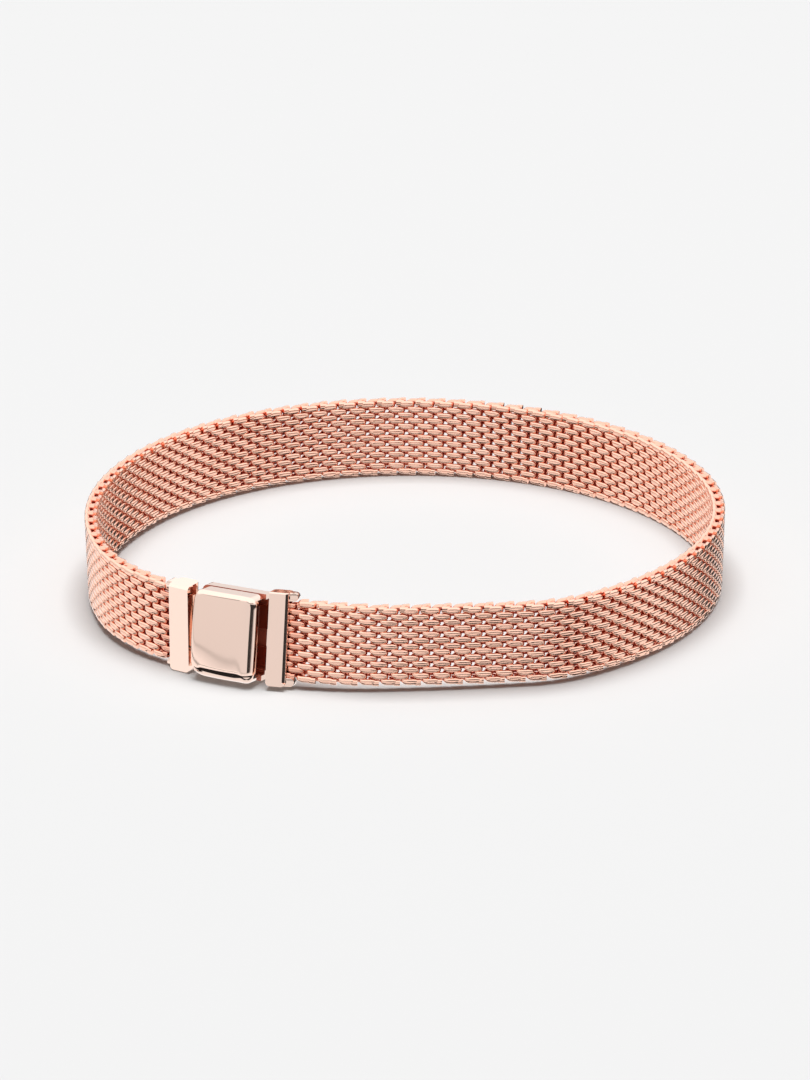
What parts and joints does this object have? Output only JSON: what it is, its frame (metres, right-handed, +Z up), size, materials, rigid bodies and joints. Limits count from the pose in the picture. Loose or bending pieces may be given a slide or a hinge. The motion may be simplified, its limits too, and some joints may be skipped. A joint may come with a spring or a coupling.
{
  "type": "mesh bracelet",
  "caption": "Rose-gold-coloured bracelet of flattened wire coils woven into a flexible band, closed by a square fold-over clasp between two polished end bars.",
  "frame": {"origin": "centre of the bounding box in plan, on the surface that the bracelet stands on", "axes": "+Z is up, across the band's width; the clasp faces -Y, a little to the left; +X is to the right as seen from the front"},
  "size_m": [0.0622, 0.0598, 0.0092],
  "materials": {
    "mesh": "rose-gold-coloured plating on silver wire, polished coils",
    "polished": "rose-gold-coloured plating on silver, mirror polished",
    "pin": "plain drawn pin"
  },
  "bodies": {
    "bracelet": {"mesh_band": "mesh", "end_bar_left": "polished", "end_bar_right": "polished", "clasp_base": "polished", "hinge_pin": "pin", "link_pin": "pin"},
    "lid": {"clasp_lid": "polished"}
  },
  "joints": [
    {"name": "lid_hinge", "type": "hinge", "parent": "bracelet", "child": "lid", "pos_m": [-0.01949, -0.02584, 0.00458], "axis": [-0.0673, -0.1412, -0.9877], "range_deg": [0, 90]}
  ]
}
